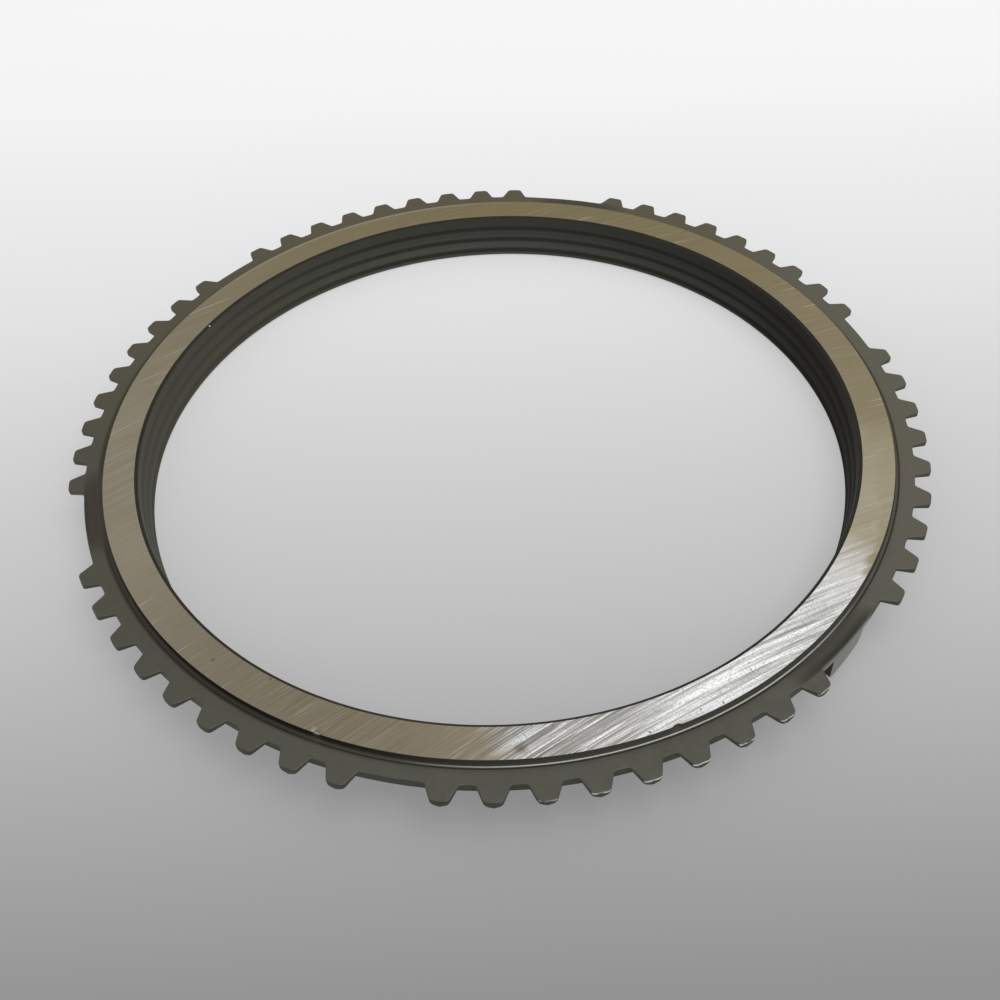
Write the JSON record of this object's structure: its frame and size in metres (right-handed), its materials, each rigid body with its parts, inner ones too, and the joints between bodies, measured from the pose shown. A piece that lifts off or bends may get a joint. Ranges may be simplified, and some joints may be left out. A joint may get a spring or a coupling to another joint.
{
  "type": "synchronizer ring",
  "caption": "Toothed gearbox synchronizer ring with a ground face, a grooved friction cone inside and driving lugs under the rim.",
  "frame": {"origin": "centre of the ring in the plane of its small end, on which it rests", "axes": "+Z along the ring's axis, out of the ground gear-side face and the wide mouth of the cone"},
  "size_m": [0.16, 0.16, 0.0096],
  "materials": {
    "ring_steel": "dark phosphated steel, ground bare on the gear-side face"
  },
  "bodies": {
    "root": {"synchronizer_ring": "ring_steel"}
  },
  "joints": []
}
